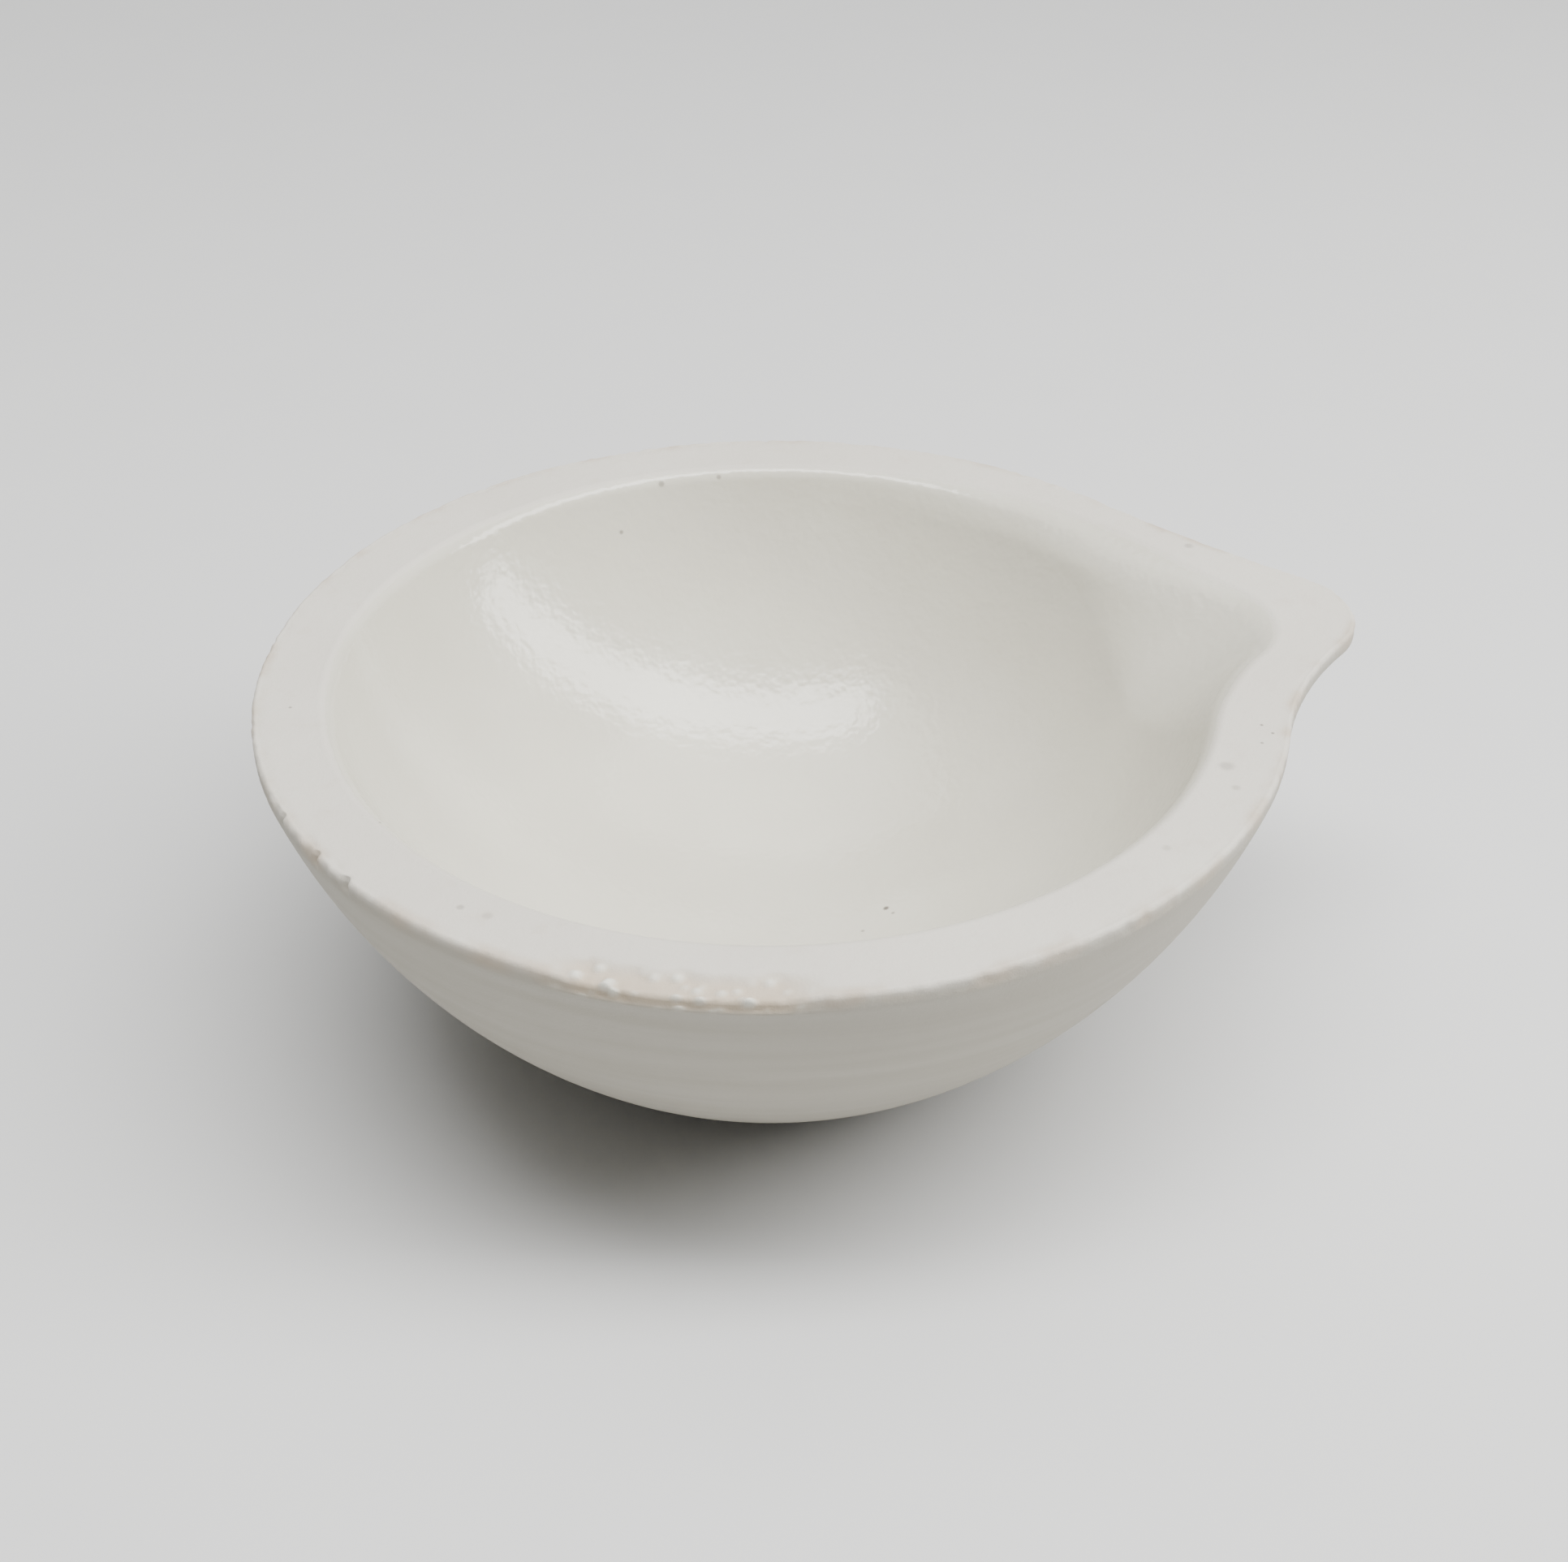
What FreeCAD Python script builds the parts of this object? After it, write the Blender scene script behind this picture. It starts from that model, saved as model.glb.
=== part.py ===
import FreeCAD, Part
import math
import os

import Sketcher

# A shallow foundry crucible (melting dish), pressed in one piece from silica ceramic:
# a round bowl on a small flat foot, with a broad flat rim and one pouring lip.
#
# Frame: origin at the centre of the foot, on the bench; +Z up; the lip points along +X.
# The lip's two flanks differ. The near one, on -Y, turns off the rim in a short curve.
# The far one, on +Y, runs off it almost straight.
#
# The wall is turned about Z up to where the lip has died into it. From there up, slices
# of wall and lip together are drawn at stepped heights and lofted, so that the two blend
# with no seam. The hollow and its pouring channel are cut out in the same way.

SIZES = {
    # Outside of the bowl
    "height": 38.0,  # bench to rim
    "rim_radius": 50.0,
    "foot_radius": 22.0,
    "foot_edge": 0.8,  # rounding of the foot's edge
    "wall_curve": 65.0,  # radius of the wall's bulge, from the foot up to the land
    "land": 1.6,  # upright edge under the rim
    "rim_edge": 0.5,  # rounding of the rim's outer edge
    # Hollow
    "rim_width": 7.3,
    "base_thickness": 8.0,
    "mouth_edge": 1.2,  # rounding of the rim's inner edge
    # Pouring lip
    "lip_overhang": 10.1,  # how far it stands out past the rim's circle
    "lip_nose": 8.75,  # radius of its nose, seen from above
    "lip_near_flank": 40.5,
    "lip_far_flank": 150.0,
    "lip_drop": 21.0,  # how far below the land it has died into the wall
    "lip_fade": 1.6,  # 1 gives a straight keel, more gives a hollow one
    # Channel in the lip
    "nose_wall": 9.1,  # rim left standing round the channel at the lip's nose
    "channel_nose": 9.0,
    "channel_near_flank": 34.0,
    "channel_far_flank": 150.0,
    "channel_drop": 10.5,  # how far below the rim it has died into the bowl
    "channel_fade": 1.35,
    # Softened mouth, on the way to the channel's far flank
    "soft_start": 9.0,  # how far along X from the middle it begins
    "soft_swell": 9.5,  # how much broader its curve is than the bowl's, at the rim
    "soft_drop": 3.6,  # how far below the rim it has died away
    "soft_fade": 2.0,
}

# Depths of the slices, from the top down: through the lip as shares of its drop, and
# through the mouth as shares of its rounding, of its softening and of the channel's drop.
LIP_SLICES = (0.0, 0.2, 0.4, 0.6, 0.8)
ROUND_SLICES = (0.0, 0.12, 0.45, 1.0)
SOFT_SLICES = (0.65,)
CHANNEL_SLICES = (0.45, 0.65, 0.83, 0.95)

doc = FreeCAD.newDocument("crucible")

sheet = doc.addObject("Spreadsheet::Sheet", "sizes")
for row, (alias, number) in enumerate(SIZES.items(), start=1):
    sheet.set(f"A{row}", alias)
    sheet.set(f"B{row}", str(number))
    sheet.setAlias(f"B{row}", alias)
doc.recompute()

# Lengths that follow from the driving ones.
worked = doc.addObject("App::VarSet", "worked")


def work_out(name, formula):
    """Add a dependent length, bound to the sheet by its formula."""
    worked.addProperty("App::PropertyFloat", name, "Lengths")
    worked.setExpression(name, formula)
    doc.recompute()


def number_of(formula):
    """The present value of a formula, as a plain number."""
    return float(worked.evalExpression(formula))


# The wall's bulge is an arc from the foot's edge to the foot of the land.
work_out("wall_top", "sizes.height - sizes.land")
work_out("wall_run", "sizes.rim_radius - sizes.foot_radius")
work_out("wall_chord", "sqrt(worked.wall_top^2 + worked.wall_run^2)")
work_out("wall_sag", "sqrt(sizes.wall_curve^2 - worked.wall_chord^2 / 4)")
work_out(
    "wall_centre_x",
    "(sizes.rim_radius + sizes.foot_radius) / 2"
    " - worked.wall_sag * worked.wall_top / worked.wall_chord",
)
work_out(
    "wall_centre_z",
    "worked.wall_top / 2 + worked.wall_sag * worked.wall_run / worked.wall_chord",
)

# The bowl's hollow is part of a sphere, centred on the axis.
work_out("mouth_radius", "sizes.rim_radius - sizes.rim_width")
work_out("bowl_depth", "sizes.height - sizes.base_thickness")
work_out(
    "bowl_curve",
    "(worked.mouth_radius^2 + worked.bowl_depth^2) / (2 * worked.bowl_depth)",
)
work_out("bowl_centre_z", "sizes.base_thickness + worked.bowl_curve")

# The channel stops short of the lip's nose by the rim left standing there.
work_out(
    "channel_overhang",
    "sizes.lip_overhang + sizes.rim_width - sizes.nose_wall",
)


def wall_radius(level):
    """Radius of the outer wall at a height, as a formula."""
    rise = f"(worked.wall_centre_z - {level})"
    return f"(worked.wall_centre_x + sqrt(sizes.wall_curve^2 - {rise}^2))"


def bowl_radius(level):
    """Radius of the hollow at a height, as a formula."""
    rise = f"(worked.bowl_centre_z - {level})"
    return f"sqrt(worked.bowl_curve^2 - {rise}^2)"


body = doc.addObject("PartDesign::Body", "crucible")
body.Label = "crucible"
body.Placement = FreeCAD.Placement()

UP = FreeCAD.Vector(0, 0, 1)
ORIGIN = (-1, 1)  # a sketch's own origin, as constraints name it
LEVEL_AXIS, UPRIGHT_AXIS = -1, -2  # and its two axes
START, END, CENTRE = range(1, 4)


def at(across, up):
    return FreeCAD.Vector(across, up, 0)


def arc(centre, radius, start, end):
    """An arc drawn anticlockwise between two angles in radians."""
    return Part.ArcOfCircle(Part.Circle(centre, UP, radius), start, end)


def new_sketch(name, role):
    """An empty sketch on one of the body's own planes."""
    sketch = body.newObject("Sketcher::SketchObject", name)
    plane = next(p for p in body.Origin.OriginFeatures if p.Role == role)
    sketch.AttachmentSupport = (plane, [""])
    sketch.MapMode = "FlatFace"
    return sketch


def bind(sketch, kind, where, name, formula):
    """Add a dimension to a sketch and bind it to a formula."""
    index = sketch.addConstraint(
        Sketcher.Constraint(kind, *where, number_of(formula))
    )
    sketch.renameConstraint(index, name)
    sketch.setExpression(f"Constraints.{name}", formula)


def join(sketch, kind, *where):
    """Add a constraint that has no size."""
    sketch.addConstraint(Sketcher.Constraint(kind, *where))


def level_sketch(name, level):
    """An empty horizontal sketch at a height."""
    sketch = new_sketch(name, "XY_Plane")
    sketch.AttachmentOffset = FreeCAD.Placement(
        UP * number_of(level), FreeCAD.Rotation()
    )
    sketch.setExpression("AttachmentOffset.Base.z", level)
    return sketch


# Formula for a slice that neither swells nor grows.
NOTHING = "0"

# Edges of every slice, in the order in which they are drawn. Only the mouth's slices
# have a shoulder, between the far flank and the bowl's circle.
ROUND, NEAR, NOSE, FAR, SHOULDER = range(5)


def lip_slice(name, level, circle, overhang, family, swell=None, grown=NOTHING):
    """
    A slice where the lip stands out: the bowl's circle, run by two hollow flank arcs
    into the convex arc of the nose, each tangent to the next. With a swell, the circle
    opens into a broader shoulder arc before the far flank. A grown slice stands off
    from the plain one all round. Returns the sketch and the bearings where arcs meet.
    """
    nose_place = f"({circle} + {overhang} - sizes.{family}_nose)"
    nose = f"(sizes.{family}_nose + {grown})"
    flanks = {
        NEAR: f"(sizes.{family}_near_flank - {grown})",
        FAR: f"(sizes.{family}_far_flank - {grown})",
    }
    circle = f"({circle} + {grown})"
    big = number_of(circle)
    small = number_of(nose)
    apart = number_of(nose_place)

    # The circle that each flank leaves, and the bearing at which a shoulder leaves the
    # bowl's circle.
    leaves = {NEAR: (at(0, 0), big), FAR: (at(0, 0), big)}
    if swell is not None:
        opens = math.acos(number_of("sizes.soft_start") / big)
        extra = number_of(swell)
        back = at(-extra * math.cos(opens), -extra * math.sin(opens))
        leaves[FAR] = (back, big + extra)

    # A flank's centre lies its own radius away from both circles that it rounds off.
    nose_centre = at(apart, 0)
    centres = {}
    on_rim = {}
    on_nose = {}
    for edge, side in ((NEAR, -1), (FAR, 1)):
        centre, radius = leaves[edge]
        flank = number_of(flanks[edge])
        along = nose_centre - centre
        gap = along.Length
        share = ((radius + flank) ** 2 + gap**2 - (small + flank) ** 2) / (2 * gap)
        aside = at(-along.y, along.x) * (side / gap)
        rise = math.sqrt((radius + flank) ** 2 - share**2)
        centres[edge] = centre + along * (share / gap) + aside * rise
        from_rim = centres[edge] - centre
        from_nose = centres[edge] - nose_centre
        on_rim[edge] = math.atan2(from_rim.y, from_rim.x)
        on_nose[edge] = math.atan2(from_nose.y, from_nose.x)

    sketch = level_sketch(name, level)
    drawn = [
        arc(
            at(0, 0),
            big,
            on_rim[FAR] if swell is None else opens,
            on_rim[NEAR] + 2 * math.pi,
        ),
        arc(
            centres[NEAR],
            number_of(flanks[NEAR]),
            on_nose[NEAR] + math.pi,
            on_rim[NEAR] + math.pi,
        ),
        arc(nose_centre, small, on_nose[NEAR], on_nose[FAR]),
        arc(
            centres[FAR],
            number_of(flanks[FAR]),
            on_rim[FAR] - math.pi,
            on_nose[FAR] - math.pi,
        ),
    ]
    if swell is not None:
        drawn.append(arc(*leaves[FAR], on_rim[FAR], opens))
    sketch.addGeometry(drawn, False)
    join(sketch, "Coincident", ROUND, CENTRE, *ORIGIN)
    join(sketch, "PointOnObject", NOSE, CENTRE, LEVEL_AXIS)
    join(sketch, "Tangent", ROUND, END, NEAR, END)
    join(sketch, "Tangent", NEAR, START, NOSE, START)
    join(sketch, "Tangent", NOSE, END, FAR, END)
    if swell is None:
        join(sketch, "Tangent", FAR, START, ROUND, START)
    else:
        join(sketch, "Tangent", FAR, START, SHOULDER, START)
        bind(sketch, "DistanceX", (*ORIGIN, ROUND, START), "opens", "sizes.soft_start")
        if swell is NOTHING:
            join(sketch, "Coincident", SHOULDER, END, ROUND, START)
            join(sketch, "Coincident", SHOULDER, CENTRE, *ORIGIN)
        else:
            join(sketch, "Tangent", SHOULDER, END, ROUND, START)
            bind(sketch, "Radius", (SHOULDER,), "shoulder", f"{circle} + {swell}")
    bind(sketch, "Radius", (ROUND,), "bowl", circle)
    bind(sketch, "DistanceX", (*ORIGIN, NOSE, CENTRE), "nose_place", nose_place)
    bind(sketch, "Radius", (NOSE,), "nose", nose)
    bind(sketch, "Radius", (NEAR,), "near_flank", flanks[NEAR])
    bind(sketch, "Radius", (FAR,), "far_flank", flanks[FAR])

    meets = [on_rim[NEAR]]
    for edge in (NEAR, FAR):
        across = apart + small * math.cos(on_nose[edge])
        meets.append(math.atan2(small * math.sin(on_nose[edge]), across))
    centre, radius = leaves[FAR]
    parts = centre + at(math.cos(on_rim[FAR]), math.sin(on_rim[FAR])) * radius
    meets.append(math.atan2(parts.y, parts.x))
    if swell is not None:
        meets.append(opens)
    return sketch, meets


def plain_slice(name, level, circle, meets):
    """A slice where the lip has died away: a circle, parted like the slice above it."""
    sketch = level_sketch(name, level)
    radius = number_of(circle)
    ends = [meets[-1], *(turn + 2 * math.pi for turn in meets)]
    sketch.addGeometry(
        [arc(at(0, 0), radius, ends[n], ends[n + 1]) for n in range(len(meets))],
        False,
    )
    for edge in range(len(meets)):
        join(sketch, "Coincident", edge, CENTRE, *ORIGIN)
    for edge in range(len(meets) - 1):
        join(sketch, "Coincident", edge, END, edge + 1, START)
    bind(sketch, "Radius", (ROUND,), "bowl", circle)
    return sketch


def slices(family, top, radius_at, overhang, depths):
    """Every slice of the lip or of its channel, from the top down."""
    drawn = []
    for depth, swell, grown in depths:
        level = f"({top} - {depth})"
        left = f"({overhang} * (1 - {depth} / sizes.{family}_drop)^sizes.{family}_fade)"
        name = f"{family}_slice_{len(drawn)}"
        sketch, meets = lip_slice(
            name, level, radius_at(level), left, family, swell, grown
        )
        drawn.append(sketch)
    level = f"({top} - sizes.{family}_drop)"
    drawn.append(plain_slice(f"{family}_end", level, radius_at(level), meets))
    return drawn


def checked(feature, grows):
    """Recompute, and make sure that a feature has added or cut what it should."""
    before = feature.BaseFeature.Shape.Volume if feature.BaseFeature else 0.0
    doc.recompute()
    gained = feature.Shape.Volume - before
    if (gained > 0) != grows:
        raise RuntimeError(f"{feature.Name} changed the volume by {gained:.1f}")
    return feature


def turned(kind, name, sketch):
    """A full turn of a profile about Z."""
    feature = body.newObject(kind, name)
    feature.Profile = sketch
    feature.ReferenceAxis = (sketch, ["V_Axis"])
    feature.Angle = 360
    return feature


def lofted(kind, name, sketches):
    """A smooth loft through slices."""
    feature = body.newObject(kind, name)
    feature.Profile = sketches[0]
    feature.Sections = sketches[1:]
    feature.Ruled = False
    return feature


# Foot and lower wall: half of its section, from the axis out along the bench, up the
# bulge to where the lip begins, and back to the axis.
seam = "(worked.wall_top - sizes.lip_drop)"
seam_z = number_of(seam)
seam_x = number_of(wall_radius(seam))
foot_x = number_of("sizes.foot_radius")
bulge_centre = at(number_of("worked.wall_centre_x"), number_of("worked.wall_centre_z"))
wall_profile = new_sketch("wall_profile", "XZ_Plane")
wall_profile.addGeometry(
    [
        Part.LineSegment(at(0, 0), at(foot_x, 0)),
        arc(
            bulge_centre,
            number_of("sizes.wall_curve"),
            math.atan2(-bulge_centre.y, foot_x - bulge_centre.x),
            math.atan2(seam_z - bulge_centre.y, seam_x - bulge_centre.x),
        ),
        Part.LineSegment(at(seam_x, seam_z), at(0, seam_z)),
        Part.LineSegment(at(0, seam_z), at(0, 0)),
    ],
    False,
)
FOOT, BULGE, SEAM, AXIS = range(4)
join(wall_profile, "Coincident", FOOT, START, *ORIGIN)
join(wall_profile, "Horizontal", FOOT)
join(wall_profile, "Coincident", FOOT, END, BULGE, START)
join(wall_profile, "Coincident", BULGE, END, SEAM, START)
join(wall_profile, "Horizontal", SEAM)
join(wall_profile, "Coincident", SEAM, END, AXIS, START)
join(wall_profile, "Coincident", AXIS, END, *ORIGIN)
join(wall_profile, "Vertical", AXIS)
bind(wall_profile, "DistanceX", (FOOT, START, FOOT, END), "foot", "sizes.foot_radius")
bind(wall_profile, "DistanceY", (AXIS, END, AXIS, START), "seam", seam)
bind(wall_profile, "Radius", (BULGE,), "bulge", "sizes.wall_curve")
bind(wall_profile, "DistanceX", (SEAM, END, SEAM, START), "reach", wall_radius(seam))
checked(turned("PartDesign::Revolution", "lower_wall", wall_profile), grows=True)

# Upper wall, with the pouring lip growing out of it.
lip_depths = [(f"{share} * sizes.lip_drop", None, NOTHING) for share in LIP_SLICES]
wall_slices = slices(
    "lip", "worked.wall_top", wall_radius, "sizes.lip_overhang", lip_depths
)
checked(lofted("PartDesign::AdditiveLoft", "lip_and_wall", wall_slices), grows=True)

# The land: the rim's outline carried straight up, round the lip as well.
rim_outline, _ = lip_slice(
    "rim_outline", "worked.wall_top", "sizes.rim_radius", "sizes.lip_overhang", "lip"
)
land = body.newObject("PartDesign::Pad", "land")
land.Profile = rim_outline
land.setExpression("Length", "sizes.land")
checked(land, grows=True)

# The bowl's hollow, up to where the channel comes in.
sill = "(sizes.height - sizes.channel_drop)"
sill_z = number_of(sill)
sill_x = number_of(bowl_radius(sill))
base_z = number_of("sizes.base_thickness")
bowl_centre = at(0, number_of("worked.bowl_centre_z"))
bowl_profile = new_sketch("bowl_profile", "XZ_Plane")
bowl_profile.addGeometry(
    [
        Part.LineSegment(at(0, base_z), at(0, sill_z)),
        Part.LineSegment(at(0, sill_z), at(sill_x, sill_z)),
        arc(
            bowl_centre,
            number_of("worked.bowl_curve"),
            -math.pi / 2,
            math.atan2(sill_z - bowl_centre.y, sill_x),
        ),
    ],
    False,
)
MIDDLE, SILL, DISH = range(3)
join(bowl_profile, "PointOnObject", MIDDLE, START, UPRIGHT_AXIS)
join(bowl_profile, "Vertical", MIDDLE)
join(bowl_profile, "Coincident", MIDDLE, END, SILL, START)
join(bowl_profile, "Horizontal", SILL)
join(bowl_profile, "Coincident", SILL, END, DISH, END)
join(bowl_profile, "Coincident", DISH, START, MIDDLE, START)
join(bowl_profile, "PointOnObject", DISH, CENTRE, UPRIGHT_AXIS)
bind(
    bowl_profile,
    "DistanceY",
    (*ORIGIN, MIDDLE, START),
    "base",
    "sizes.base_thickness",
)
bind(bowl_profile, "DistanceY", (*ORIGIN, MIDDLE, END), "sill", sill)
bind(bowl_profile, "Radius", (DISH,), "dish", "worked.bowl_curve")
checked(turned("PartDesign::Groove", "bowl", bowl_profile), grows=False)

# The mouth, with the pouring channel dished into the lip. Its edge is rounded all round,
# and towards the channel's far flank it is softened more broadly.
round_depths = [
    (
        f"{share} * sizes.mouth_edge",
        f"sizes.soft_swell * (1 - {share} * sizes.mouth_edge / sizes.soft_drop)"
        "^sizes.soft_fade",
        f"{1 - math.sqrt(1 - (1 - share) ** 2):.4f} * sizes.mouth_edge",
    )
    for share in ROUND_SLICES
]
soft_depths = [
    (
        f"{share} * sizes.soft_drop",
        f"sizes.soft_swell * {1 - share:.2f}^sizes.soft_fade",
        NOTHING,
    )
    for share in SOFT_SLICES
]
plain_depths = [
    (f"{share} * sizes.channel_drop", NOTHING, NOTHING) for share in CHANNEL_SLICES
]
mouth_slices = slices(
    "channel",
    "sizes.height",
    bowl_radius,
    "worked.channel_overhang",
    round_depths + soft_depths + plain_depths,
)
mouth = lofted("PartDesign::SubtractiveLoft", "mouth_and_channel", mouth_slices)
checked(mouth, grows=False)


SAME_HEIGHT = 0.001


def flat_at(shape, height):
    """The horizontal face that lies at a height."""
    for face in shape.Faces:
        box = face.BoundBox
        if max(abs(box.ZMin - height), abs(box.ZMax - height)) < SAME_HEIGHT:
            return face
    raise RuntimeError(f"no flat face at {height}")


def edge_names(shape, wire):
    """The shape's own names for the edges of one of its wires."""
    names = []
    for number, edge in enumerate(shape.Edges, start=1):
        if any(edge.isSame(other) for other in wire.Edges):
            names.append(f"Edge{number}")
    return names


def rounded(name, base, wire, radius):
    """Round off the edges of one wire."""
    feature = body.newObject("PartDesign::Fillet", name)
    feature.Base = (base, edge_names(base.Shape, wire))
    feature.setExpression("Radius", radius)
    doc.recompute()
    return feature


# The rim's outer edge and the foot's edge are eased.
rim_face = flat_at(mouth.Shape, number_of("sizes.height"))
eased_rim = rounded("eased_rim", mouth, rim_face.OuterWire, "sizes.rim_edge")
foot_face = flat_at(eased_rim.Shape, 0.0)
eased_foot = rounded("eased_foot", eased_rim, foot_face.OuterWire, "sizes.foot_edge")
body.Tip = eased_foot
doc.recompute()

for item in doc.Objects:
    if any(flag in item.State for flag in ("Invalid", "Error")):
        raise RuntimeError(f"{item.Name} is {item.State}")
if body.Shape.isNull() or not body.Shape.isValid() or len(body.Shape.Solids) != 1:
    raise RuntimeError("the crucible isn't one valid solid")

os.makedirs("parts", exist_ok=True)
body.Shape.exportStep("parts/crucible.step")
print(f"crucible {body.Shape.Volume:.0f} mm3, {len(body.Shape.Faces)} faces")
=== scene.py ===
import math

import bpy
import numpy as np
from mathutils import Matrix, Quaternion, Vector, noise


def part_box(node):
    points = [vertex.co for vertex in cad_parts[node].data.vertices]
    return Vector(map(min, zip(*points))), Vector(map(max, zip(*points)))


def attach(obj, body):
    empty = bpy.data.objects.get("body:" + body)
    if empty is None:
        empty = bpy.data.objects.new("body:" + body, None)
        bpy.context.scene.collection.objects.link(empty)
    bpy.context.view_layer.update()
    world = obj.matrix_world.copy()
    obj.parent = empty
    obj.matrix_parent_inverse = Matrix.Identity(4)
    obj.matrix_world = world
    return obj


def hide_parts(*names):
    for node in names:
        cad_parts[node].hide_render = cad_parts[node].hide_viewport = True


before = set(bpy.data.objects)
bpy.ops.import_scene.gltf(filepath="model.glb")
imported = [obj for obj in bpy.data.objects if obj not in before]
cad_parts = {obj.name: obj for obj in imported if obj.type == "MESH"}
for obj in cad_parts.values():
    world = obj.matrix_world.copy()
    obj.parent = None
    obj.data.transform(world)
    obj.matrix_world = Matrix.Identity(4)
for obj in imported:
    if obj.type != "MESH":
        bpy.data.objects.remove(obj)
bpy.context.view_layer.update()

# Crucible
# A shallow melting dish with one pouring lip, pressed in one piece from silica ceramic:
# a thick flat rim and a small foot. The hollow is glazed and glossy, and the rim and the
# outside are bare, matt and finely porous. Sizes are in millimetres.
MM = 0.001
low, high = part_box("crucible")
height = (high.z - low.z) / MM
rim_radius = (high.y - low.y) / 2 / MM
lip_overhang = high.x / MM - rim_radius

foot_radius = 22.0
wall_curve = 65.0
land = 1.6
rim_edge = 0.5
rim_width = 7.3
base_thickness = 8.0
mouth_edge = 1.2
soft_start = 9.0
soft_swell = 9.5
soft_drop = 3.6
soft_fade = 2.0
lip = {"nose": 8.75, "near": 40.5, "far": 150.0, "drop": 21.0, "fade": 1.6}
channel = {"nose": 9.0, "near": 34.0, "far": 150.0, "drop": 10.5, "fade": 1.35}
nose_wall = 9.1
channel_overhang = lip_overhang + rim_width - nose_wall

# The wall's bulge is an arc from the foot's edge to the foot of the land.
wall_top = height - land
chord = math.hypot(wall_top, rim_radius - foot_radius)
sag = math.sqrt(wall_curve**2 - chord**2 / 4)
bulge_x = (rim_radius + foot_radius) / 2 - sag * wall_top / chord
bulge_z = wall_top / 2 + sag * (rim_radius - foot_radius) / chord

# The hollow is part of a sphere.
mouth_radius = rim_radius - rim_width
bowl_depth = height - base_thickness
bowl_curve = (mouth_radius**2 + bowl_depth**2) / (2 * bowl_depth)
bowl_z = base_thickness + bowl_curve


def wall_radius(z):
    return bulge_x + math.sqrt(wall_curve**2 - (bulge_z - z) ** 2)


def bowl_radius(z):
    return math.sqrt(bowl_curve**2 - (bowl_z - z) ** 2)


def to_arc(bearing, centre, radius, far_side=1.0):
    """Distance out from the axis, at each bearing, to an arc about a centre."""
    along = centre[0] * np.cos(bearing) + centre[1] * np.sin(bearing)
    square = radius**2 - centre[0] ** 2 - centre[1] ** 2 + along**2
    return along + far_side * np.sqrt(np.maximum(square, 0.0))


def outline(bearing, circle, overhang, shape, swell=0.0, grown=0.0):
    """
    Radius at each bearing of a level line: the bowl's circle, run by two hollow flanks
    into a nose. A swell opens the circle into a broader shoulder by the far flank.
    """
    nose_at = np.array([circle + overhang - shape["nose"], 0.0])
    nose = shape["nose"] + grown
    circle = circle + grown
    radius = np.full_like(bearing, circle)
    if overhang < 1e-6:
        return radius
    opens = math.acos(soft_start / circle)
    back = -swell * np.array([math.cos(opens), math.sin(opens)])
    sides = ((-1, shape["near"], np.zeros(2), 0.0), (1, shape["far"], back, swell))
    for side, flank, centre, extra in sides:
        flank = flank - grown
        apart = nose_at - centre
        gap = math.hypot(*apart)
        share = (circle + extra + flank) ** 2 + gap**2 - (nose + flank) ** 2
        share /= 2 * gap
        rise = math.sqrt(max((circle + extra + flank) ** 2 - share**2, 0.0))
        aside = side * np.array([-apart[1], apart[0]]) / gap
        middle = centre + apart / gap * share + aside * rise
        leaves = centre + (middle - centre) * (circle + extra) / (circle + extra + flank)
        meets = nose_at + (middle - nose_at) * nose / (nose + flank)
        turned = side * bearing
        off_rim = side * math.atan2(leaves[1], leaves[0])
        off_nose = side * math.atan2(meets[1], meets[0])
        if extra:
            shoulder = to_arc(bearing, centre, circle + extra)
            radius = np.where((turned >= 0) & (turned < opens), shoulder, radius)
        hollow = to_arc(bearing, middle, flank, -1.0)
        radius = np.where((turned >= 0) & (turned < off_rim), hollow, radius)
        tip = to_arc(bearing, nose_at, nose)
        radius = np.where((turned >= 0) & (turned <= off_nose), tip, radius)
    return radius


def outside(bearing, z):
    """The outer wall and its lip at a height."""
    share = (wall_top - min(z, wall_top)) / lip["drop"]
    left = lip_overhang * max(1.0 - share, 0.0) ** lip["fade"]
    return outline(bearing, wall_radius(min(z, wall_top)), left, lip)


def inside(bearing, z):
    """The hollow and its channel at a height, with the mouth's rounding and softening."""
    depth = height - z
    left = channel_overhang * max(1.0 - depth / channel["drop"], 0.0) ** channel["fade"]
    swell = soft_swell * max(1.0 - depth / soft_drop, 0.0) ** soft_fade
    turn = min(depth / mouth_edge, 1.0)
    grown = mouth_edge * (1.0 - math.sqrt(1.0 - (1.0 - turn) ** 2))
    return outline(bearing, bowl_radius(z), left, channel, swell, grown)


def ease(low_end, high_end, value):
    """0 below one value and 1 above the other, with a smooth change between."""
    share = np.clip((value - low_end) / (high_end - low_end), 0.0, 1.0)
    return share * share * (3.0 - 2.0 * share)


# Level lines, each a ring of points, from the middle of the foot, out and up the wall,
# over the rim and down the hollow to its middle. Rings are finest round the rim.
FINE = 1120
rings = []


def ring(count, radius, z, zone, glazed=0.0):
    """One level line: points at even bearings, at a height or at a height for each."""
    bearing = np.linspace(-math.pi, math.pi, count, endpoint=False)
    across = radius(bearing) if callable(radius) else np.full(count, radius)
    up = z(bearing) if callable(z) else np.full(count, z)
    shine = glazed(bearing) if callable(glazed) else np.full(count, glazed)
    points = np.stack([across * np.cos(bearing), across * np.sin(bearing), up], 1)
    rings.append({"points": points, "zone": zone, "glazed": shine, "bearing": bearing})


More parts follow.
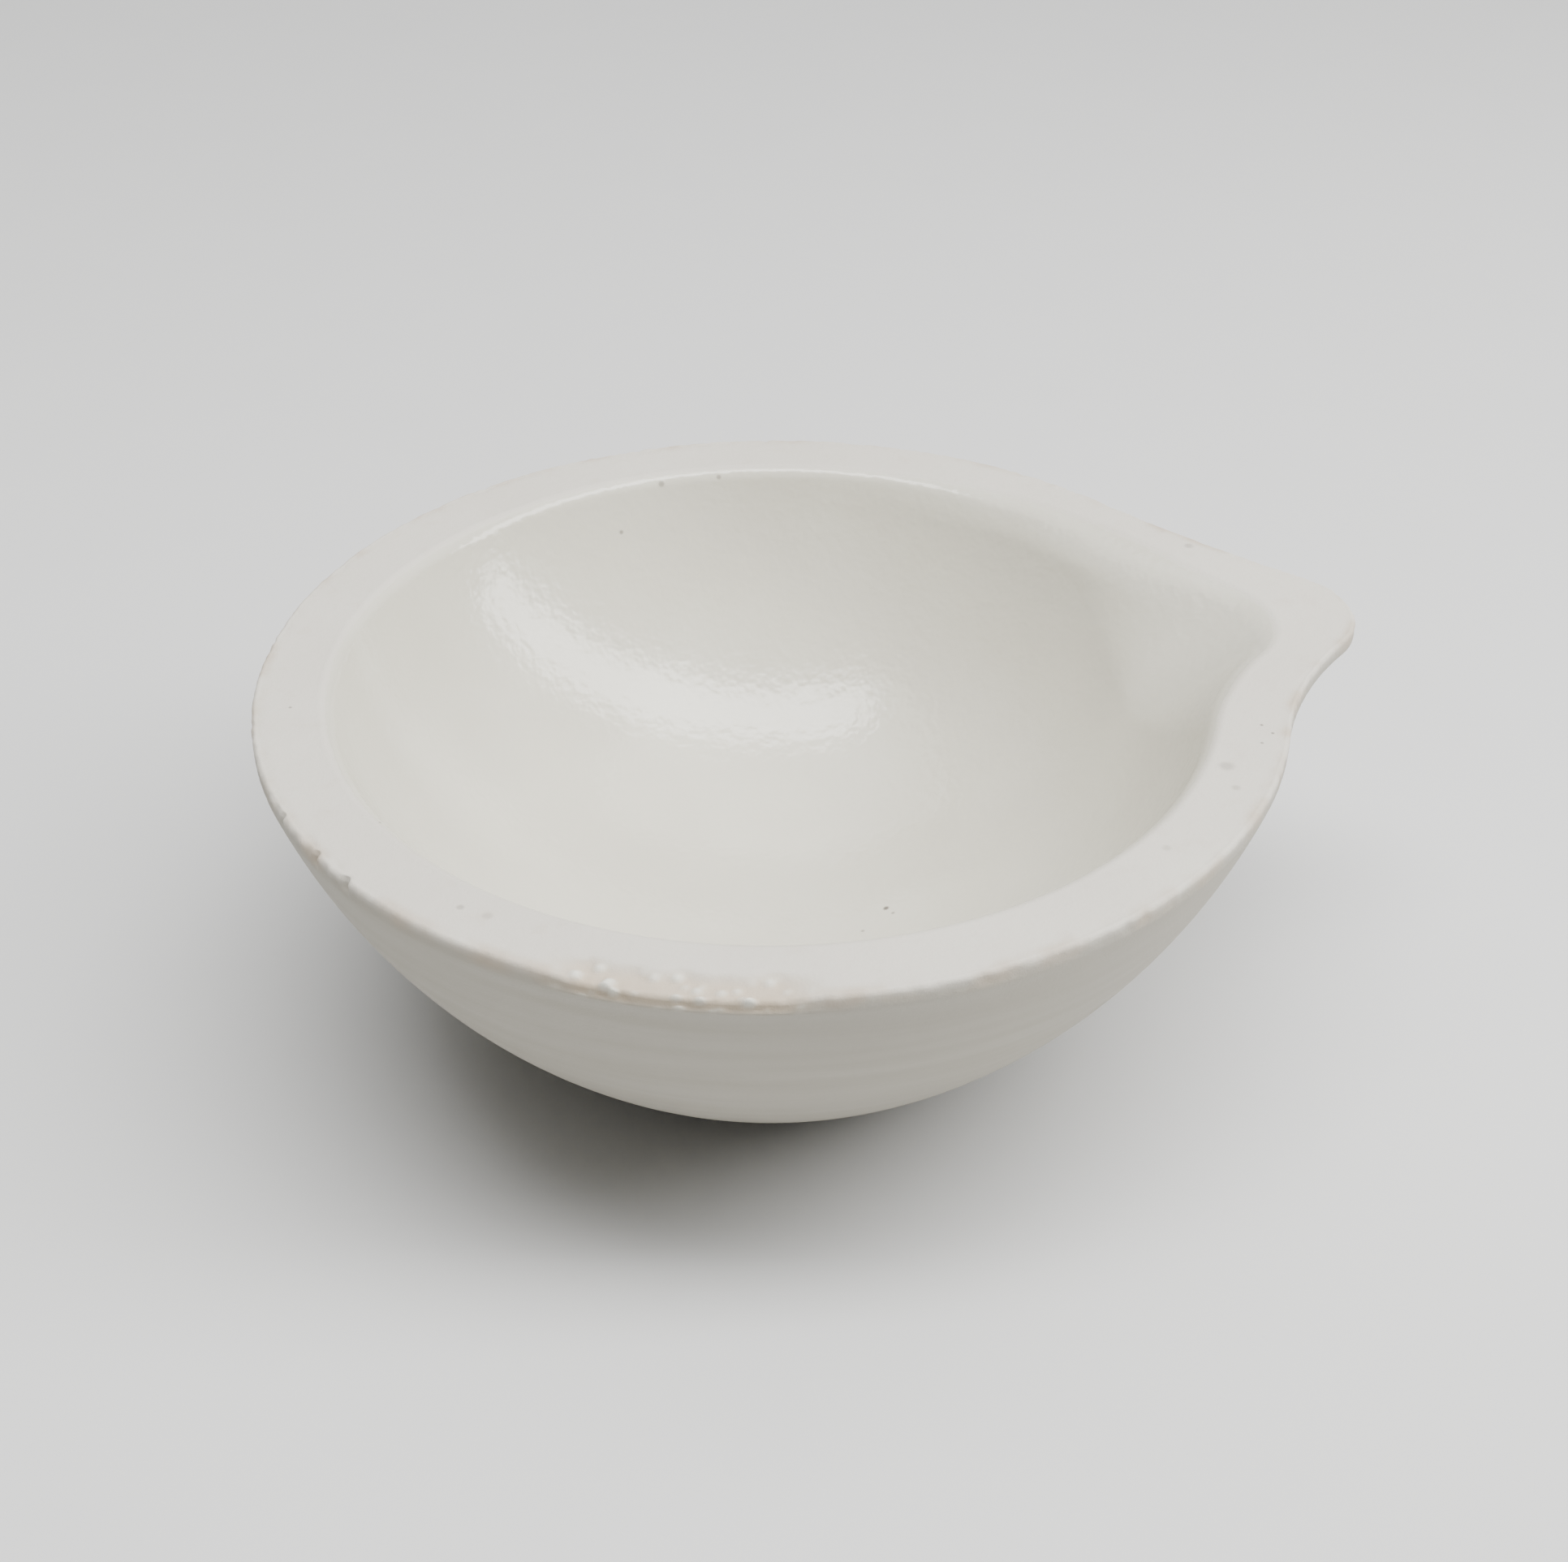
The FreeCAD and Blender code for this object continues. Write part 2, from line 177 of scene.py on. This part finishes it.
for count, radius in ((70, 2.0), (70, 5.0), (140, 9.0), (280, 14.0), (560, 19.0)):
    ring(count, radius, 0.0, "foot")
for radius, z in ((21.4, 0.0), (21.78, 0.0), (21.95, 0.03), (22.1, 0.09)):
    ring(560, radius, z, "foot")
for z in np.linspace(0.2, 34.6, 34):
    ring(560, lambda b, z=z: outside(b, z), z, "wall")
for z in np.linspace(35.2, height - rim_edge, 9):
    ring(FINE, lambda b, z=z: outside(b, z), z, "wall")
for turn in np.radians((15.0, 35.0, 55.0, 75.0)):
    ring(
        FINE,
        lambda b, t=turn: outside(b, height) - rim_edge * (1.0 - math.cos(t)),
        height - rim_edge * (1.0 - math.sin(turn)),
        "edge",
    )


for share in np.linspace(0.0, 1.0, 24):
    ring(
        FINE,
        lambda b, s=share: (outside(b, height) - rim_edge) * (1.0 - s)
        + inside(b, height) * s,
        height,
        "rim",
    )
for turn in np.radians((78.0, 67.0, 56.0, 45.0, 34.0, 22.0, 11.0, 0.0)):
    z = height - mouth_edge * (1.0 - math.sin(turn))
    ring(FINE, lambda b, z=z: inside(b, z), z, "mouth", 1.0 - 0.9 * ease(0.5, 1.3, turn))
for depth in np.linspace(mouth_edge + 0.3, channel["drop"], 19):
    z = height - depth
    count = FINE if depth < 2.6 else 560
    ring(count, lambda b, z=z: inside(b, z), z, "bowl", 1.0)
sill = math.asin(bowl_radius(height - channel["drop"]) / bowl_curve)
for count, turn in [(560, t) for t in np.linspace(sill, 0.36, 22)[1:]] + [
    (280, 0.30),
    (280, 0.25),
    (140, 0.20),
    (140, 0.15),
    (70, 0.10),
    (70, 0.05),
]:
    ring(
        count,
        bowl_curve * math.sin(turn),
        bowl_z - bowl_curve * math.cos(turn),
        "bowl",
        1.0,
    )

points = [np.array([[0.0, 0.0, 0.0]])]
glazed = [np.zeros(1)]
starts = []
total = 1
for each in rings:
    starts.append(total)
    total += len(each["points"])
    points.append(each["points"])
    glazed.append(each["glazed"])
points.append(np.array([[0.0, 0.0, base_thickness]]))
glazed.append(np.ones(1))
points = np.concatenate(points)
glazed = np.concatenate(glazed)
faces = [(0, starts[0] + (i + 1) % 70, starts[0] + i) for i in range(70)]
for below, above, a, b in zip(rings, rings[1:], starts, starts[1:]):
    n, m = len(below["points"]), len(above["points"])
    for i in range(min(n, m)):
        if n == m:
            j = (i + 1) % n
            faces.append((a + i, a + j, b + j, b + i))
        elif m == 2 * n:
            j = (i + 1) % n
            faces.append((a + i, b + 2 * i + 1, b + 2 * i))
            faces.append((a + i, a + j, b + 2 * i + 1))
            faces.append((a + j, b + 2 * j, b + 2 * i + 1))
        elif n == 2 * m:
            j = (i + 1) % m
            faces.append((b + i, a + 2 * i, a + 2 * i + 1))
            faces.append((b + j, b + i, a + 2 * i + 1))
            faces.append((b + j, a + 2 * i + 1, a + 2 * j))
last = starts[-1]
faces += [(total, last + i, last + (i + 1) % 70) for i in range(70)]

# Handling and firing have left their traces in the shape itself: the glaze lies in
# gentle waves, the rim is not quite flat, and its outer edge is uneven and nicked.
bearing = np.degrees(np.arctan2(points[:, 1], points[:, 0]))
radius = np.hypot(points[:, 0], points[:, 1])
edge_radius = outside(np.radians(bearing), height)
zones = np.concatenate(
    [["foot"]] + [[each["zone"]] * len(each["points"]) for each in rings] + [["bowl"]]
)


def waves(size, seed):
    """Smooth noise from -1 to 1 at each point, with features about so many mm across."""
    shift = Vector((seed * 17.3, seed * 5.1, seed * 9.7))
    return np.array([noise.noise(Vector(p) / size + shift) for p in points])


def near(centre_bearing, centre_radius, size):
    """1 at a place on the dish, falling to 0 at a distance of so many mm."""
    turn = math.radians(centre_bearing)
    gap = np.hypot(
        points[:, 0] - centre_radius * math.cos(turn),
        points[:, 1] - centre_radius * math.sin(turn),
    )
    return 1.0 - ease(0.0, size, gap)


broad = waves(9.0, 1)
middling = waves(3.0, 2)
fine = waves(0.9, 3)

from_edge = edge_radius - radius
at_edge = 1.0 - ease(0.2, 1.6, from_edge)
by_rim = ease(height - 2.2, height - 0.6, points[:, 2]) * np.isin(
    zones, ("wall", "edge", "rim")
)
worn = np.clip(0.35 + 0.5 * broad + 0.5 * middling, 0.0, 1.0)
for centre, reach, depth in ((-155.0, 16.0, 0.5), (100.0, 12.0, 0.5), (160.0, 8.0, 0.35)):
    gap = np.abs((bearing - centre + 180.0) % 360.0 - 180.0)
    worn += depth * (1.0 - ease(0.0, reach, gap))
inward = by_rim * at_edge * 0.22 * np.clip(worn * (0.5 + fine), 0.0, 1.0)
down = np.where(zones == "rim", 0.05 * (0.5 + 0.5 * broad) + 0.02 * (1 + fine), 0.0)
down += by_rim * at_edge * 0.14 * np.clip(worn * (0.4 + fine), 0.0, 1.0)
for where, size, deep in ((-154.3, 0.7, 0.5), (-148.6, 0.8, 0.6), (-162.3, 0.6, 0.35)):
    bite = near(where, rim_radius, size) * by_rim
    inward += deep * bite
    down += 0.5 * deep * bite

# The crumbly patch at the front of the rim: the edge has come away and coarse white
# grains stand in the hollow.
patch = ease(-125.0, -119.0, bearing) * (1.0 - ease(-101.0, -96.0, bearing))
patch *= (1.0 - ease(1.6, 3.4, from_edge + 0.7 * middling)) * by_rim
cells = np.array([noise.voronoi(Vector(p) / 1.6)[0][0] for p in points])
grain = patch * (1.0 - ease(0.1, 0.5, cells))
down += 0.5 * patch * (1.0 - grain) + 0.05 * patch
inward += 0.15 * patch * (1.0 - grain)

points[:, 0] -= inward * np.cos(np.radians(bearing))
points[:, 1] -= inward * np.sin(np.radians(bearing))
points[:, 2] -= down
ripple = np.where(zones == "bowl", 0.05 * broad + 0.012 * middling, 0.0)
ripple *= ease(0.0, 3.0, height - points[:, 2])
out = np.stack([points[:, 0], points[:, 1], points[:, 2] - bowl_z], 1)
out /= np.linalg.norm(out, axis=1)[:, None]
points += out * ripple[:, None]

mesh = bpy.data.meshes.new("crucible_dish")
mesh.from_pydata([tuple(p * MM) for p in points], [], faces)
mesh.polygons.foreach_set("use_smooth", [True] * len(mesh.polygons))
mesh.attributes.new("glazed", "FLOAT", "POINT").data.foreach_set("value", glazed)
mesh.attributes.new("patch", "FLOAT", "POINT").data.foreach_set("value", patch)
mesh.attributes.new("grain", "FLOAT", "POINT").data.foreach_set("value", grain)
# The outside wall and foot below the rim, which the finish paints darker as painted shade.
below = np.isin(zones, ("wall", "foot")) * ease(0.2, 1.2, height - points[:, 2])
mesh.attributes.new("below", "FLOAT", "POINT").data.foreach_set("value", below)
at_rim_edge = by_rim * at_edge
mesh.attributes.new("edge", "FLOAT", "POINT").data.foreach_set("value", at_rim_edge)
mesh.update()
dish = bpy.data.objects.new("crucible_dish", mesh)
bpy.context.scene.collection.objects.link(dish)


class Value:
    """A value in a finish. Sums on it add Math nodes."""

    def __init__(self, finish, socket):
        self.finish = finish
        self.socket = socket

    def sum(self, operation, first, second):
        links = {"Value": first, "Value_001": second}
        return self.finish.node("ShaderNodeMath", {"operation": operation}, links)

    def __add__(self, other):
        return self.sum("ADD", self, other)

    def __sub__(self, other):
        return self.sum("SUBTRACT", self, other)

    def __rsub__(self, other):
        return self.sum("SUBTRACT", other, self)

    def __mul__(self, other):
        return self.sum("MULTIPLY", self, other)

    __radd__ = __add__
    __rmul__ = __mul__


class Finish:
    """One material, built from nodes."""

    def __init__(self, name):
        self.material = bpy.data.materials.new(name)
        self.material.use_nodes = True
        self.tree = self.material.node_tree
        self.shader = self.tree.nodes["Principled BSDF"]

    def link(self, node, values):
        for key, value in values.items():
            socket = next(s for s in node.inputs if s.identifier == key)
            if isinstance(value, Value):
                self.tree.links.new(value.socket, socket)
            else:
                socket.default_value = value

    def node(self, kind, settings, values, gives=None):
        """Add a node: its settings first, then its sockets. Returns one output."""
        made = self.tree.nodes.new(kind)
        for key, value in settings.items():
            if key == "stops":
                for stop, (place, shade) in zip(made.color_ramp.elements, value):
                    stop.position = place
                    stop.color = shade
            else:
                setattr(made, key, value)
        self.link(made, values)
        outputs = [s for s in made.outputs if s.enabled]
        found = [s for s in outputs if s.identifier == gives] or outputs
        return Value(self, found[0])

    def blend(self, share, first, second):
        """One colour changing into another."""
        values = {"Factor_Float": share, "A_Color": first, "B_Color": second}
        return self.node("ShaderNodeMix", {"data_type": "RGBA"}, values)

    def step(self, value, start, end, to=1.0):
        """0 below one value, and full above another."""
        values = {"Value": value, "From Min": start, "From Max": end, "To Max": to}
        settings = {"interpolation_type": "SMOOTHSTEP"}
        return self.node("ShaderNodeMapRange", settings, values)

    def grain(self, place, size, detail=2.0, rough=0.5):
        """Noise from 0 to 1 with features about so many mm across."""
        values = {"Vector": place, "Scale": 1.0 / size, "Detail": detail, "Roughness": rough}
        return self.node("ShaderNodeTexNoise", {}, values, "Fac")

    def spot(self, place, centre, size, soft=0.5):
        """1 inside a round mark of that radius in mm, 0 outside it."""
        settings = {"operation": "DISTANCE"}
        values = {"Vector": place, "Vector_001": centre}
        gap = self.node("ShaderNodeVectorMath", settings, values, "Value")
        return 1.0 - self.step(gap, size * (1.0 - soft), size)


ceramic = Finish("silica_ceramic")
spot_at = ceramic.node("ShaderNodeTexCoord", {}, {}, "Object")
place = ceramic.node(
    "ShaderNodeVectorMath", {"operation": "SCALE"}, {"Vector": spot_at, "Scale": 1.0 / MM}
)


def painted(name):
    return ceramic.node("ShaderNodeAttribute", {"attribute_name": name}, {}, "Fac")


glaze = ceramic.step(painted("glazed") + (ceramic.grain(place, 1.6) - 0.5) * 0.5, 0.3, 0.7)
cloud = ceramic.grain(place, 14.0)
mottle = ceramic.grain(place, 2.5, 3.0)
bare = ceramic.blend(cloud, (0.60, 0.56, 0.49, 1.0), (0.68, 0.65, 0.57, 1.0))
bare = ceramic.blend(ceramic.step(mottle, 0.55, 0.8, 0.35), bare, (0.56, 0.50, 0.42, 1.0))
# Painted shade: the outside wall and foot take a much darker clay colour, standing in for
# the shade they lie in under light from above. Faint level bands run through it.
below = painted("below")
bands = ceramic.node(
    "ShaderNodeVectorMath",
    {"operation": "MULTIPLY"},
    {"Vector": place, "Vector_001": (0.03, 0.03, 0.5)},
)
bands = ceramic.grain(bands, 1.0, 3.0)
painted_shade_clay = ceramic.blend(bands, (0.37, 0.34, 0.28, 1.0), (0.47, 0.45, 0.39, 1.0))
bare = ceramic.blend(below, bare, painted_shade_clay)
glass = ceramic.blend(cloud, (0.60, 0.57, 0.48, 1.0), (0.70, 0.68, 0.58, 1.0))
edge_tint = painted("edge") * ceramic.step(ceramic.grain(place, 5.0), 0.4, 0.7, 0.6)
bare = ceramic.blend(edge_tint, bare, (0.46, 0.37, 0.27, 1.0))
grains = painted("grain")
crumbs = painted("patch") * (1.0 - grains) * 0.7
bare = ceramic.blend(crumbs, bare, (0.50, 0.40, 0.28, 1.0))
bare = ceramic.blend(grains * 0.8, bare, (0.80, 0.80, 0.70, 1.0))
colour = ceramic.blend(glaze, bare, glass)

# Small dark specks and smudges, each by its bearing, its distance from the axis, its
# height, its size and how dark it is.
for turn, away, z, size, dark in (
    (-20.7, 11.9, 9.6, 0.45, 0.95),
    (-25.2, 12.8, 9.8, 0.3, 0.6),
    (-41.2, 10.6, 9.3, 0.3, 0.5),
    (95.5, 42.4, 37.1, 0.5, 0.5),
    (86.6, 42.4, 37.2, 0.4, 0.5),
    (103.1, 40.5, 33.0, 0.35, 0.6),
    (43.9, 42.2, 36.6, 0.4, 0.4),
    (17.0, 50.5, 38.0, 0.7, 0.35),
    (-34.3, 45.1, 38.0, 1.0, 0.35),
    (-38.1, 46.8, 38.0, 0.6, 0.3),
    (-52.7, 45.6, 38.0, 0.6, 0.25),
    (-136.0, 46.1, 38.0, 0.5, 0.4),
    (-132.7, 45.8, 38.0, 0.7, 0.25),
    (-24.6, 47.2, 38.0, 0.25, 0.7),
    (-26.0, 48.3, 38.0, 0.25, 0.7),
    (-28.3, 47.5, 38.0, 0.25, 0.6),
    (177.1, 46.3, 38.0, 0.25, 0.6),
    (-155.3, 43.0, 37.6, 0.25, 0.7),
    (-152.0, 43.2, 37.6, 0.25, 0.7),
):
    turn = math.radians(turn)
    centre = (away * math.cos(turn), away * math.sin(turn), z)
    mark = ceramic.spot(place, centre, size, 0.7) * dark
    colour = ceramic.blend(mark, colour, (0.13, 0.11, 0.09, 1.0))

peel = ceramic.grain(place, 1.1, 1.0)
pores = ceramic.grain(place, 0.35, 3.0, 0.7)
relief = ceramic.node(
    "ShaderNodeBump",
    {},
    {
        "Strength": 0.5,
        "Distance": 0.0001,
        "Height": glaze * peel * 1.1 + (1.0 - glaze) * pores,
    },
)
roughness = 0.72 - glaze * 0.56 + (mottle - 0.5) * 0.08
ceramic.link(
    ceramic.shader,
    {"Base Color": colour, "Roughness": roughness, "Normal": relief, "IOR": 1.5},
)
mesh.materials.append(ceramic.material)
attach(dish, "root")
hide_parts("crucible")

# Bench
# A plain pale board, wide enough to fill the view.
board = bpy.data.meshes.new("bench")
reach = 3.0
board.from_pydata(
    [(-reach, -reach, 0.0), (reach, -reach, 0.0), (reach, reach, 0.0), (-reach, reach, 0.0)],
    [],
    [(0, 1, 2, 3)],
)
bench = bpy.data.objects.new("bench", board)
bpy.context.scene.collection.objects.link(bench)
paper = Finish("pale_board")
fleck = paper.grain(paper.node("ShaderNodeTexCoord", {}, {}, "Object"), 0.02)
paper.link(
    paper.shader,
    {
        "Base Color": paper.blend(fleck, (0.66, 0.66, 0.65, 1.0), (0.68, 0.68, 0.67, 1.0)),
        "Roughness": 0.9,
    },
)
board.materials.append(paper.material)

# Lights
# A long soft strip hangs close over the dish, and a broad panel fills from above.
rim_middle = Vector((0.0, 0.0, high.z))
facing = math.radians(-11.31)


def lamp(name, place, size, power, aim=rim_middle):
    """A soft panel, with its long side across the view."""
    data = bpy.data.lights.new(name, "AREA")
    data.shape = "RECTANGLE"
    data.size = size[0]
    data.size_y = size[1]
    data.energy = power
    made = bpy.data.objects.new(name, data)
    turn = Matrix.Rotation(facing, 4, "Z")
    made.location = turn @ Vector(place) + rim_middle
    to_aim = aim - made.location
    across = turn @ Vector((1.0, 0.0, 0.0))
    back = -to_aim.normalized()
    along = (across - back * across.dot(back)).normalized()
    made.matrix_world = Matrix.Translation(made.location) @ Matrix(
        (along, back.cross(along), back)
    ).transposed().to_4x4()
    bpy.context.scene.collection.objects.link(made)


lamp("strip", (0.25, -0.085, 0.5), (1.35, 0.17), 11.0)
lamp("ceiling", (0.0, 0.2, 1.6), (2.2, 1.6), 26.0)
world = bpy.data.worlds.new("studio")
world.use_nodes = True
world.node_tree.nodes["Background"].inputs["Color"].default_value = (0.95, 0.97, 1.0, 1.0)
world.node_tree.nodes["Background"].inputs["Strength"].default_value = 0.16
bpy.context.scene.world = world

# Camera
# It stands 0.22 m from the middle of the rim and looks down into the dish.
eye = bpy.data.cameras.new("camera")
eye.sensor_width = 36.0
eye.lens = 52.26
camera = bpy.data.objects.new("camera", eye)
stands = math.radians(-101.31)
raised = math.radians(31.76)
camera.location = rim_middle + 0.2225 * Vector(
    (
        math.cos(raised) * math.cos(stands),
        math.cos(raised) * math.sin(stands),
        math.sin(raised),
    )
)
camera.rotation_mode = "QUATERNION"
camera.rotation_quaternion = (
    Quaternion((0, 0, 1), math.radians(-11.666))
    @ Quaternion((1, 0, 0), math.radians(90.0 - 34.637))
    @ Quaternion((0, 0, 1), math.radians(-0.161))
)
bpy.context.scene.collection.objects.link(camera)
bpy.context.scene.camera = camera
